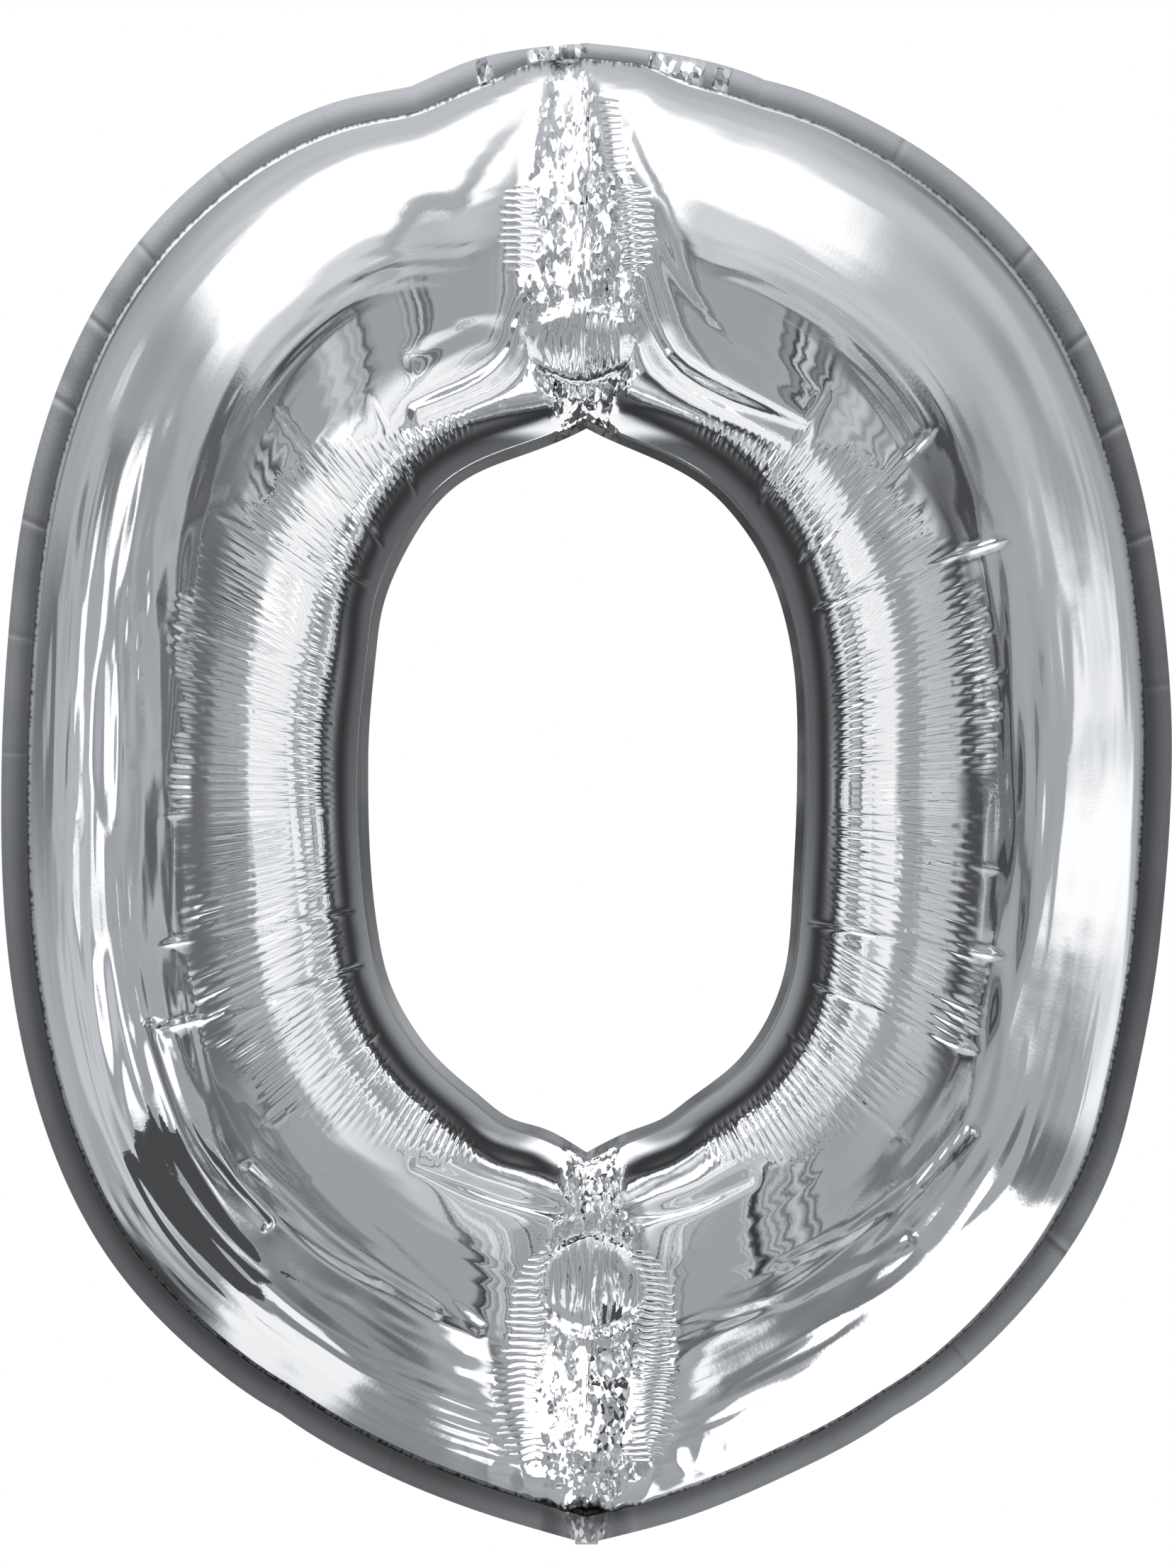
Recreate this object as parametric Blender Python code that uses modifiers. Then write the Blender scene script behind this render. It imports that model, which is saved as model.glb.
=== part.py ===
"""Foil number balloon in the shape of a zero: two metallised film panels, sealed together round
their outer edge and round the hole, with a two-ply self-sealing valve in a folded inflation neck.

Units are metres. +Z is up, -Y is the front, and the origin is the centre of the balloon's box.
"""

import math

import bmesh
import bpy
import numpy as np
from mathutils import Vector

# Overall size
HALF_WIDTH = 0.3353
HALF_HEIGHT = 0.4302
DEPTH_RATIO = 0.42  # half the inflated depth, as a share of the tube's width

# Each edge is a superellipse above its widest place and another below it, with a pointed peak on each
OUTER_WIDEST_Z = 0.0124
OUTER_TOP_POWER = 2.46
OUTER_TOP_PEAK = 0.0133
OUTER_TOP_PEAK_HALF_WIDTH = 0.101
OUTER_TOP_PEAK_POWER = 0.80
OUTER_LOW_POWER = 2.51
OUTER_LOW_PEAK = 0.0401
OUTER_LOW_PEAK_HALF_WIDTH = 0.176
OUTER_LOW_PEAK_POWER = 1.08

HOLE_HALF_WIDTH = 0.1230
HOLE_WIDEST_Z = 0.0080
HOLE_TOP_Z = 0.2095
HOLE_TOP_POWER = 2.71
HOLE_TOP_PEAK = 0.0170
HOLE_TOP_PEAK_HALF_WIDTH = 0.093
HOLE_TOP_PEAK_POWER = 2.97
HOLE_LOW_Z = -0.2050
HOLE_LOW_POWER = 2.78
HOLE_LOW_PEAK = 0.0246
HOLE_LOW_PEAK_HALF_WIDTH = 0.097
HOLE_LOW_PEAK_POWER = 2.18

# Film and seams
PANEL_THICKNESS = 0.0008
PLY_THICKNESS = 0.0004
FILM_GAP = 0.0004
OUTER_SEAM_WIDTH = 0.016
HOLE_SEAM_WIDTH = 0.010

# The tube folds at the top and at the bottom, where it is pinched into a groove on both faces
GROOVE_DEPTH = 0.42
GROOVE_HALF_WIDTH = 0.034
GROOVE_POWER = 1.3
ARCH_POWER = 0.94  # below 1 makes the tube's section fuller than a half ellipse

# Inflation neck, folded behind the bottom tip
NECK_WIDTH = 0.018
PLY_WIDTH = 0.013
NECK_FOLD_DEG = 122.0
NECK_LENGTH = 0.050
NECK_FOLD_CLEARANCE = 0.0014  # the radius left inside the innermost ply of the fold
NECK_ROOT = 0.0036  # how far the neck is joined into the seam
NECK_SPREAD_HALF_WIDTH = 0.016  # here the panels stand apart to let the valve through
NECK_SPREAD_END = 0.040
VALVE_REACH = 0.070  # how far the valve runs up inside the balloon
VALVE_MOUTH = 0.004  # how much shorter the valve is than the neck, at its open end

# Mesh density
COLUMNS = 30  # on each half, from the top fold to the bottom fold
ARCH_ROWS = 11
COLUMN_CROWDING = 0.72  # how much closer the columns stand near the folds
OUTLINE_SAMPLES = 600
FOLD_STEPS = 8

FILM_COLOUR = (0.78, 0.79, 0.81)
VALVE_COLOUR = (0.86, 0.88, 0.90)

FRONT = -1.0
BACK = 1.0

# Middle of each film from the mid plane, where the panels stand apart for the valve
PLY_OFFSET = (FILM_GAP + PLY_THICKNESS) / 2
NECK_OFFSET = PLY_OFFSET + (PLY_THICKNESS + PANEL_THICKNESS) / 2 + FILM_GAP
SEAM_OFFSET = (FILM_GAP + PANEL_THICKNESS) / 2
FOLD_CENTRE_Y = NECK_OFFSET + PANEL_THICKNESS / 2 + NECK_FOLD_CLEARANCE
FOLD_CENTRE_Z = FOLD_CENTRE_Y + NECK_OFFSET + PANEL_THICKNESS / 2 - HALF_HEIGHT


def clear_scene():
    for obj in list(bpy.data.objects):
        bpy.data.objects.remove(obj)


def new_collection(name):
    collection = bpy.data.collections.new(name)
    bpy.context.scene.collection.children.link(collection)
    return collection


def principled(name, colour, roughness, metallic):
    material = bpy.data.materials.new(name)
    material.use_nodes = True
    shader = material.node_tree.nodes["Principled BSDF"]
    shader.inputs["Base Color"].default_value = (*colour, 1.0)
    shader.inputs["Roughness"].default_value = roughness
    shader.inputs["Metallic"].default_value = metallic
    return material


def quarter(half_width, height, power, peak, peak_half_width, peak_power):
    """A quarter superellipse with a pointed peak, as (x, height) points from x = 0 outwards."""
    turns = np.linspace(0, math.pi / 2, OUTLINE_SAMPLES)
    x = half_width * np.abs(np.sin(turns)) ** (2 / power)
    rise = (height - peak) * np.abs(np.cos(turns)) ** (2 / power)
    rise += peak * np.clip(1 - x / peak_half_width, 0, 1) ** peak_power
    return np.column_stack([x, rise])


def join_quarters(top, low, middle_z):
    """The right half of an edge, from the top to the bottom, as (x, z) points."""
    above = top * (1, 1) + (0, middle_z)
    below = low * (1, -1) + (0, middle_z)
    return np.concatenate([above, below[-2::-1]])


def outer_edge():
    top = quarter(
        HALF_WIDTH,
        HALF_HEIGHT - OUTER_WIDEST_Z,
        OUTER_TOP_POWER,
        OUTER_TOP_PEAK,
        OUTER_TOP_PEAK_HALF_WIDTH,
        OUTER_TOP_PEAK_POWER,
    )
    low = quarter(
        HALF_WIDTH,
        OUTER_WIDEST_Z - FOLD_CENTRE_Z,
        OUTER_LOW_POWER,
        OUTER_LOW_PEAK,
        OUTER_LOW_PEAK_HALF_WIDTH,
        OUTER_LOW_PEAK_POWER,
    )
    return join_quarters(top, low, OUTER_WIDEST_Z)


def hole_edge():
    top = quarter(
        HOLE_HALF_WIDTH,
        HOLE_TOP_Z - HOLE_WIDEST_Z,
        HOLE_TOP_POWER,
        HOLE_TOP_PEAK,
        HOLE_TOP_PEAK_HALF_WIDTH,
        HOLE_TOP_PEAK_POWER,
    )
    low = quarter(
        HOLE_HALF_WIDTH,
        HOLE_WIDEST_Z - HOLE_LOW_Z,
        HOLE_LOW_POWER,
        HOLE_LOW_PEAK,
        HOLE_LOW_PEAK_HALF_WIDTH,
        HOLE_LOW_PEAK_POWER,
    )
    return join_quarters(top, low, HOLE_WIDEST_Z)


def at_shares(points, shares):
    """Points along a line of points, at shares of its length."""
    steps = np.linalg.norm(np.diff(points, axis=0), axis=1)
    along = np.concatenate([[0.0], np.cumsum(steps)])
    x = np.interp(shares * along[-1], along, points[:, 0])
    z = np.interp(shares * along[-1], along, points[:, 1])
    return np.column_stack([x, z])


def column_shares():
    """Shares of the way from the top fold to the bottom fold, closer together at both."""
    u = np.linspace(0, 1, COLUMNS + 1)
    return u - COLUMN_CROWDING * np.sin(2 * math.pi * u) / (2 * math.pi)


def seam_face(x, z):
    """How far a panel's outer face stands from the mid plane at its seam."""
    spread = np.interp(x, [NECK_SPREAD_HALF_WIDTH, NECK_SPREAD_END], [1.0, 0.0])
    at_neck = spread if z < -HALF_HEIGHT / 2 else 0.0
    middle = SEAM_OFFSET + (NECK_OFFSET - SEAM_OFFSET) * at_neck
    return middle + PANEL_THICKNESS / 2


def groove(x):
    """The share of the depth that is left beside the folds at the top and bottom."""
    return 1 - GROOVE_DEPTH * math.exp(-((x / GROOVE_HALF_WIDTH) ** GROOVE_POWER))


def section(outer, inner):
    """The outer face of one panel across the tube, from the outer seam to the hole's seam."""
    width = float(np.linalg.norm(inner - outer))
    outer_seam = OUTER_SEAM_WIDTH / width
    hole_seam = HOLE_SEAM_WIDTH / width
    span = 1 - outer_seam - hole_seam
    shares = [0.0, outer_seam]
    heights = [0.0, 0.0]
    for row in range(1, ARCH_ROWS + 1):
        turn = math.pi * row / (ARCH_ROWS + 1)
        shares.append(outer_seam + span * (1 - math.cos(turn)) / 2)
        heights.append(DEPTH_RATIO * width * math.sin(turn) ** ARCH_POWER)
    shares += [1 - hole_seam, 1.0]
    heights += [0.0, 0.0]
    line = []
    for share, height in zip(shares, heights):
        x, z = outer + (inner - outer) * share
        base = seam_face(float(outer[0]), float(outer[1]))
        if share > 0.5:
            base = seam_face(1.0, 0.0)
        line.append((float(x), base + height * groove(float(x)), float(z)))
    return line


def panel(name, side, material, collection):
    """One film panel with its seams: half of it is lofted and mirrored, then made solid."""
    shares = column_shares()
    outer = at_shares(outer_edge(), shares)
    inner = at_shares(hole_edge(), shares)
    bm = bmesh.new()
    columns = []
    for start, end in zip(outer, inner):
        line = section(start, end)
        columns.append([bm.verts.new((x, side * y, z)) for x, y, z in line])
    for left, right in zip(columns, columns[1:]):
        for row in range(len(left) - 1):
            corners = [left[row], right[row], right[row + 1], left[row + 1]]
            bm.faces.new(corners if side == BACK else corners[::-1])
    mesh = bpy.data.meshes.new(name)
    bm.to_mesh(mesh)
    bm.free()
    mesh.materials.append(material)
    mesh.shade_smooth()
    obj = bpy.data.objects.new(name, mesh)
    collection.objects.link(obj)
    mirror = obj.modifiers.new("other_half", "MIRROR")
    mirror.merge_threshold = 0.0001
    solid = obj.modifiers.new("film", "SOLIDIFY")
    solid.thickness = PANEL_THICKNESS
    solid.offset = -1.0
    solid.use_even_offset = True
    return obj


def neck_path(offset, start_z, length):
    """The line down through the seam, round the fold and up behind the tip, as (y, z) points."""
    radius = FOLD_CENTRE_Y - offset
    points = [(offset, start_z)]
    for step in range(FOLD_STEPS + 1):
        turn = math.radians(NECK_FOLD_DEG) * step / FOLD_STEPS
        y = FOLD_CENTRE_Y - radius * math.cos(turn)
        z = FOLD_CENTRE_Z - radius * math.sin(turn)
        points.append((y, z))
    turn = math.radians(NECK_FOLD_DEG)
    y, z = points[-1]
    points.append((y + length * math.sin(turn), z - length * math.cos(turn)))
    return points


def film_strip(name, path, width, thickness, collection):
    """A strip of film of even width along a path in the Y-Z plane, made solid about its middle."""
    bm = bmesh.new()
    rows = []
    for y, z in path:
        rows.append([bm.verts.new((x, y, z)) for x in (-width / 2, width / 2)])
    for near, far in zip(rows, rows[1:]):
        bm.faces.new([near[0], near[1], far[1], far[0]])
    mesh = bpy.data.meshes.new(name)
    bm.to_mesh(mesh)
    bm.free()
    obj = bpy.data.objects.new(name, mesh)
    collection.objects.link(obj)
    solid = obj.modifiers.new("film", "SOLIDIFY")
    solid.thickness = thickness
    solid.offset = 0.0
    solid.use_even_offset = True
    return obj


def add_neck(panel_obj, side, helpers):
    """Joins the panel's half of the inflation neck to its bottom tip."""
    path = neck_path(side * NECK_OFFSET, FOLD_CENTRE_Z + NECK_ROOT, NECK_LENGTH)
    thickness = PANEL_THICKNESS - FILM_GAP / 2
    strip = film_strip(panel_obj.name + "_neck", path, NECK_WIDTH, thickness, helpers)
    strip.hide_render = True
    strip.display_type = "WIRE"
    union = panel_obj.modifiers.new("neck", "BOOLEAN")
    union.operation = "UNION"
    union.solver = "EXACT"
    union.object = strip


def valve_ply(name, side, material, collection):
    """One ply of the valve, from inside the balloon out through the folded neck."""
    path = neck_path(side * PLY_OFFSET, FOLD_CENTRE_Z + VALVE_REACH, NECK_LENGTH - VALVE_MOUTH)
    ply = film_strip(name, path, PLY_WIDTH, PLY_THICKNESS, collection)
    ply.data.materials.append(material)
    return ply


def main():
    clear_scene()
    parts = new_collection("foil_number_balloon")
    helpers = new_collection("neck_helpers")
    silver_front = principled("silver_film_front", FILM_COLOUR, 0.08, 1.0)
    silver_back = principled("silver_film_back", FILM_COLOUR, 0.10, 1.0)
    clear_front = principled("valve_film_front", VALVE_COLOUR, 0.35, 0.0)
    clear_back = principled("valve_film_back", VALVE_COLOUR, 0.35, 0.0)
    root = bpy.data.objects.new("balloon", None)
    root.empty_display_size = HALF_WIDTH
    parts.objects.link(root)
    front = panel("front_panel", FRONT, silver_front, parts)
    back = panel("back_panel", BACK, silver_back, parts)
    add_neck(front, FRONT, helpers)
    add_neck(back, BACK, helpers)
    valve_front = valve_ply("valve_front_ply", FRONT, clear_front, parts)
    valve_back = valve_ply("valve_back_ply", BACK, clear_back, parts)
    for piece in (front, back, valve_front, valve_back):
        piece.parent = root
        piece.location = Vector((0.0, 0.0, 0.0))


main()
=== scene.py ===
"""The looks of the foil number balloon: two pleated, creased sheets of mirror film, their
two-ply valve in the folded neck, and the studio around them."""

import math

import bpy
import numpy as np
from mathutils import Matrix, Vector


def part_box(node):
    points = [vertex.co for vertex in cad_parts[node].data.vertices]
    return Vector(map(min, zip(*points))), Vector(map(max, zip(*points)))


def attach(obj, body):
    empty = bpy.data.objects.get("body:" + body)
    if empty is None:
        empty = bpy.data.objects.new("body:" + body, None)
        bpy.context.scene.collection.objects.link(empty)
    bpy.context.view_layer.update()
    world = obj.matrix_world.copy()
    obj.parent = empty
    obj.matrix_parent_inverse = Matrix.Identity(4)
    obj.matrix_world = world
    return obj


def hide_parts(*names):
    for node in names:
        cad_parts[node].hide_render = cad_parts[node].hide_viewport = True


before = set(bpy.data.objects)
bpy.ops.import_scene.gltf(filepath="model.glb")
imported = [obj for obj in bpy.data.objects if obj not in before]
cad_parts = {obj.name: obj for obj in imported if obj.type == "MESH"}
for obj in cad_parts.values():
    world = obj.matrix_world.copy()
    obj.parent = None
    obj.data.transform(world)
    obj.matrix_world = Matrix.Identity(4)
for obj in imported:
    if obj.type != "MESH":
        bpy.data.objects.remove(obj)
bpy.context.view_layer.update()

# ---- sizes, in metres
HALF_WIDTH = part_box("back_panel")[1][0]
HALF_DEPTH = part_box("back_panel")[1][1]
TOP_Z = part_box("back_panel")[1][2]
NECK_LOW_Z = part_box("front_panel")[0][2]

# The neck's plies are folded round a line behind the bottom tip. Each strip starts above the fold,
# and ends past it: its rise, its length past the fold and its widths from start to end.
FOLD_Y = 0.0032
FRONT_TONGUE, FRONT_PLY, BACK_PLY, BACK_TONGUE = 0.0046, 0.0036, 0.0028, 0.0018
FOLD_Z = NECK_LOW_Z + FRONT_TONGUE + 0.0003
FOLD_TURN = math.radians(122)
TIP_Z = NECK_LOW_Z + 0.0014
TONGUE_STRIP = (0.003, 0.050, (0.011, 0.014, 0.020))
PLY_STRIP = (0.070, 0.046, (0.011, 0.011, 0.0145))
STRIP_RIPPLE = 0.00035

# Each edge: its half width, top, widest height and bottom, and the curves above and below
HOLE_HALF_WIDTH = 0.1230
EDGES = {
    "outer": (HALF_WIDTH, TOP_Z, 0.0124, TIP_Z,
              dict(power=2.46, peak=0.0133, peak_half_width=0.101, peak_power=0.80),
              dict(power=2.51, peak=0.0401, peak_half_width=0.176, peak_power=1.08)),
    "hole": (HOLE_HALF_WIDTH, 0.2095, 0.0080, -0.2050,
             dict(power=2.71, peak=0.0170, peak_half_width=0.093, peak_power=2.97),
             dict(power=2.78, peak=0.0246, peak_half_width=0.097, peak_power=2.18)),
}

FRONT, BACK = -1.0, 1.0
RIGHT, LEFT = 1, -1

# How far each edge stands outside its even outline, in mm, at shares of the way down from the top
EDGE_SHIFTS = {
    ("outer", RIGHT): [
        (0, 0), (0.1, 0.7), (0.14, -1.6), (0.21, -1.9), (0.26, -1.1), (0.34, -2.4), (0.41, -1.9),
        (0.48, 0), (0.57, -3.1), (0.64, -3.1), (0.68, -0.3), (0.78, -1.6), (0.85, 1.0), (0.9, -0.5),
        (0.96, 0.9), (1, 0)],
    ("outer", LEFT): [
        (0, 0), (0.05, 1.0), (0.085, -2.8), (0.12, 0.7), (0.2, 2.0), (0.25, 1.9), (0.3, 1.0),
        (0.36, -0.2), (0.43, -1.5), (0.5, 0), (0.63, 0.8), (0.72, 0.4), (0.8, -2.0), (0.85, -0.3),
        (0.9, -0.8), (0.97, -0.5), (1, 0)],
    ("hole", RIGHT): [
        (0, 0), (0.06, -0.5), (0.14, -2.2), (0.19, -3.6), (0.28, -2.6), (0.36, -1.7), (0.49, -2.5),
        (0.61, -3.0), (0.71, 1.1), (0.8, 0.9), (0.875, -0.2), (0.91, 1.9), (0.954, 0), (1, 0)],
    ("hole", LEFT): [
        (0, 0), (0.07, 0.3), (0.15, 2.5), (0.23, 1.3), (0.31, 2.6), (0.36, 1.3), (0.46, 2.1),
        (0.65, 1.8), (0.7, 2.3), (0.78, -0.2), (0.86, -0.9), (0.91, 1.9), (0.95, -1.3), (1, 0)],
}

OUTER_SEAM = 0.0150
HOLE_SEAM = 0.0045
# How far into the tube the outer margin's dullness and painted shade reach
DULL_AND_SHADED_REACH = 0.025
SEAM_HALF_GAP = 0.00035
CREST_SHIFT = 0.0050
ARCH_POWER = 0.97

GROOVE_DEPTH = 0.36
GROOVE_HALF_WIDTH = 0.030
GROOVE_POWER = 1.35

# Each panel's grid: pleats in each half, rows across the tube and seed
FRONT_GRID, BACK_GRID = (150, 138, 11), (110, 100, 57)
COLUMNS_PER_PLEAT = 6
SEAM_ROWS, HOLE_ROWS = 9, 6
CORNER_SMOOTHING = 33

# Heights and spacings of the film's relief
PLEAT_HEIGHT = 0.00105
THIN_CREASE_DEPTH = 0.00085
DIMPLE_PITCH = 0.0056
PLEAT_GROUP = 0.022
SWELL_HEIGHT = 0.0009
DENT_HEIGHT, RIDGE_HEIGHT, SHOULDER_FOLD_HEIGHT = 0.00034, 0.00042, 0.00022
GATHER_PITCH, GATHER_HEIGHT = 0.0062, 0.00030
SEAM_CREASE_DEPTH = 0.00014
PINCH_DEPTH = 0.0030
CRUMPLE_HEIGHT, HANGING_HEIGHT, TIP_CRUMPLE_HEIGHT = 0.0018, 0.0008, 0.005
RIB_HEIGHT = 0.00045
COMB_PITCH, COMB_TILT = 0.0040, 1.5
# The crystals in the pinches: cells in a metre, stretch and tilt
CRYSTALS = [(170.0, (1.0, 0.3, 0.5), 0.46), (380.0, (1.0, 0.3, 0.7), 0.36)]

# The ribbed bulbs low in the pinches: height, half height, half width and rise
BULBS = [(0.255, 0.023, 0.030, 0.0050), (-0.277, 0.029, 0.030, 0.0045)]

FILM_COLOURS = (0.905, 0.915, 0.930, 1), (0.955, 0.960, 0.965, 1)
PRESSED_ROUGHNESS = 0.17
VALVE_COLOURS = (0.80, 0.83, 0.86, 1), (0.92, 0.94, 0.95, 1)

# Painted shade on the outer margin: how much of its colour it keeps at shares of the way down
MARGIN_PAINTED_SHADE_RIGHT = [(0, 1.0), (0.15, 0.95), (0.35, 0.85), (0.70, 0.80), (0.85, 0.65), (1, 0.60)]
MARGIN_PAINTED_SHADE_LEFT = [(0, 1.0), (0.35, 1.0), (0.48, 0.95), (0.60, 0.75), (0.75, 0.48), (0.93, 0.40), (1, 0.6)]

# The crumpled pinches at the top and bottom: (height, middle, half width) down each of them
TOP_PINCH = [(0.431, -0.011, 0.011), (0.410, -0.010, 0.012), (0.392, -0.008, 0.019),
             (0.352, -0.007, 0.024), (0.340, -0.005, 0.036), (0.292, -0.005, 0.037),
             (0.277, -0.003, 0.032), (0.256, -0.004, 0.033), (0.236, -0.003, 0.029),
             (0.224, -0.001, 0.019), (0.205, -0.001, 0.019)]
LOW_PINCH = [(-0.198, 0.003, 0.018), (-0.236, 0.003, 0.018), (-0.245, 0.004, 0.028),
             (-0.258, 0.003, 0.030), (-0.280, 0.003, 0.040), (-0.308, 0.002, 0.040),
             (-0.330, -0.001, 0.044), (-0.358, -0.001, 0.044), (-0.385, 0.000, 0.030),
             (-0.410, 0.000, 0.014), (-0.430, 0.000, 0.008)]

# Where the pleats start across the tube, at shares of the way down; 0.5 is near the crest
PLEAT_START = [(0, 0.80), (0.13, 0.74), (0.17, 0.71), (0.21, 0.65), (0.25, 0.59), (0.30, 0.56),
               (0.35, 0.50), (0.60, 0.50), (0.65, 0.47), (0.69, 0.51), (0.75, 0.58),
               (0.81, 0.65), (0.86, 0.72), (1, 0.80)]

# Deep creases across the inner half: share at the crest and at the hole, start, end, depth in mm
DEEP_CREASES = {
    LEFT: [
        (0.243, 0.256, 0.57, 0.90, 1.6), (0.321, 0.292, 0.54, 0.93, 1.6),
        (0.600, 0.625, 0.48, 0.90, 1.5), (0.648, 0.680, 0.44, 0.90, 2.0),
        (0.735, 0.745, 0.56, 0.86, 1.0), (0.400, 0.396, 0.50, 0.80, 0.7),
        (0.520, 0.522, 0.50, 0.82, 0.6), (0.182, 0.196, 0.68, 0.92, 1.0)],
    RIGHT: [
        (0.270, 0.279, 0.52, 0.86, 1.8), (0.352, 0.326, 0.46, 0.86, 2.2),
        (0.608, 0.640, 0.48, 0.92, 2.2), (0.670, 0.693, 0.50, 0.86, 1.8),
        (0.198, 0.205, 0.62, 0.88, 1.6), (0.430, 0.426, 0.50, 0.82, 0.8),
        (0.555, 0.560, 0.50, 0.84, 0.6), (0.745, 0.750, 0.55, 0.88, 1.0)],
}

# Long folds: the points of each line as (x, z), its depth and its width
FOLDS = [
    ([(0.025, 0.285), (0.034, 0.262), (0.048, 0.240), (0.075, 0.223), (0.120, 0.205)], 0.0026, 0.0060),
    ([(-0.034, 0.275), (-0.042, 0.250), (-0.060, 0.232), (-0.095, 0.216)], 0.0020, 0.0060),
    ([(0.036, 0.325), (0.052, 0.285), (0.080, 0.250), (0.125, 0.222)], 0.0016, 0.0060),
    ([(-0.040, 0.262), (-0.065, 0.262), (-0.098, 0.244)], 0.0014, 0.0055),
    ([(0.020, -0.240), (0.055, -0.232), (0.090, -0.216)], 0.0020, 0.0045),
    ([(-0.016, -0.236), (-0.050, -0.226), (-0.095, -0.208)], 0.0020, 0.0045),
    ([(-0.245, -0.130), (-0.222, -0.190), (-0.180, -0.240)], 0.0016, 0.0030),
    ([(-0.190, -0.210), (-0.140, -0.255), (-0.085, -0.290)], 0.0014, 0.0030),
    ([(-0.150, -0.215), (-0.100, -0.262), (-0.060, -0.300)], 0.0012, 0.0026),
    ([(0.060, -0.262), (0.110, -0.262), (0.170, -0.232), (0.215, -0.190)], 0.0014, 0.0030),
    ([(0.045, -0.300), (0.110, -0.285), (0.180, -0.250)], 0.0012, 0.0032),
]

# Shares of the short creases straight across the outer seam
SEAM_CREASES = {
    LEFT: [0.130, 0.185, 0.236, 0.277, 0.318, 0.377, 0.431, 0.487, 0.560, 0.84, 0.90],
    RIGHT: [0.158, 0.237, 0.285, 0.330, 0.384, 0.455, 0.73, 0.80, 0.875, 0.93],
}

# Crumpled patches on the outer margin near the top: half, first and last share
MARGIN_CRUMPLES = [(RIGHT, 0.031, 0.055), (RIGHT, 0.063, 0.068), (LEFT, 0.019, 0.027),
                   (LEFT, 0.047, 0.052)]


# ---- curves and noise
def quarter(half_width, height, power, peak, peak_half_width, peak_power):
    """A quarter superellipse with a pointed peak, from x = 0 outwards."""
    turns = np.linspace(0, math.pi / 2, 1200)
    x = half_width * np.abs(np.sin(turns)) ** (2 / power)
    rise = (height - peak) * np.abs(np.cos(turns)) ** (2 / power)
    rise += peak * np.clip(1 - x / peak_half_width, 0, 1) ** peak_power
    return np.column_stack([x, rise])


def smooth_line(knots, at):
    """A smooth curve through (place, value) knots, read at the places given."""
    x, y = np.array(knots, float).T
    slope = np.gradient(y, x)
    i = np.clip(np.searchsorted(x, at) - 1, 0, len(x) - 2)
    width = x[i + 1] - x[i]
    t = np.clip((at - x[i]) / width, 0, 1)
    return (
        (2 * t**3 - 3 * t**2 + 1) * y[i]
        + (t**3 - 2 * t**2 + t) * width * slope[i]
        + (3 * t**2 - 2 * t**3) * y[i + 1]
        + (t**3 - t**2) * width * slope[i + 1]
    )


def edge(kind, half, shares):
    """Points of one half of an edge at shares of its length, as (x, z) with x to its own side."""
    half_width, top_z, widest_z, low_z, top, low = EDGES[kind]
    top = quarter(half_width, top_z - widest_z, **top) * (1, 1) + (0, widest_z)
    low = quarter(half_width, widest_z - low_z, **low) * (1, -1) + (0, widest_z)
    line = np.concatenate([top, low[-2::-1]])
    steps = np.linalg.norm(np.diff(line, axis=0), axis=1)
    along = np.concatenate([[0], np.cumsum(steps)]) / steps.sum()
    points = np.column_stack([np.interp(shares, along, line[:, k]) for k in (0, 1)])
    run = np.gradient(points, axis=0)
    out = np.column_stack([-run[:, 1], run[:, 0]])
    out /= np.linalg.norm(out, axis=1)[:, None]
    points = points + out * smooth_line(EDGE_SHIFTS[kind, half], shares)[:, None] / 1000
    points[:, 0] = np.maximum(points[:, 0], 0)
    return points * (half, 1)


def whole_edge(kind, shares):
    """An edge's points down its right half and up its left half."""
    return np.concatenate([edge(kind, RIGHT, shares), edge(kind, LEFT, shares)[-2:0:-1]])


def step(low, high, value):
    """0 at low, 1 at high and beyond, smooth between."""
    t = np.clip((value - low) / (high - low), 0, 1)
    return t * t * (3 - 2 * t)


def between(low, high, soft, value):
    """1 from low to high, and 0 outside them by more than soft."""
    return step(low - soft, low, value) * (1 - step(high, high + soft, value))


def waves(x, y, size_x, size_y, seed, count=14):
    """Smooth random waves about size_x by size_y long, near -1 to 1."""
    rng = np.random.default_rng(seed)
    total = np.zeros(np.broadcast(x, y).shape)
    for _ in range(count):
        turn = rng.uniform(0, 2 * math.pi)
        scale = rng.uniform(0.7, 1.5)
        kx = math.cos(turn) * scale / size_x
        ky = math.sin(turn) * scale / size_y
        total += np.sin(2 * math.pi * (kx * x + ky * y) + rng.uniform(0, 2 * math.pi))
    return total / math.sqrt(count)


def line_noise(x, size, seed):
    """Smooth random values between -1 and 1 along one coordinate, changing every size."""
    rng = np.random.default_rng(seed)
    cell = np.floor(x / size).astype(int)
    low = cell.min()
    values = rng.uniform(-1, 1, cell.max() - low + 2)
    t = x / size - cell
    t = t * t * (3 - 2 * t)
    return values[cell - low] * (1 - t) + values[cell - low + 1] * t


def facets(x, y, size_x, size_y, seed):
    """Flat-sided crumples: the height over the nearest of many scattered leaning planes."""
    rng = np.random.default_rng(seed)
    u, v = x / size_x, y / size_y
    iu, iv = np.floor(u).astype(int), np.floor(v).astype(int)
    shape = (iu.max() - iu.min() + 3, iv.max() - iv.min() + 3)
    jitter = rng.uniform(0.05, 0.95, (*shape, 2))
    lift = rng.uniform(0, 0.6, shape)
    best = np.full(u.shape, 9.0)
    for du in (-1, 0, 1):
        for dv in (-1, 0, 1):
            cell = (iu + du - iu.min() + 1, iv + dv - iv.min() + 1)
            j = jitter[cell]
            far = np.hypot(u - iu - du - j[..., 0], v - iv - dv - j[..., 1])
            best = np.minimum(best, far + lift[cell])
    return best - 0.6


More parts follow.
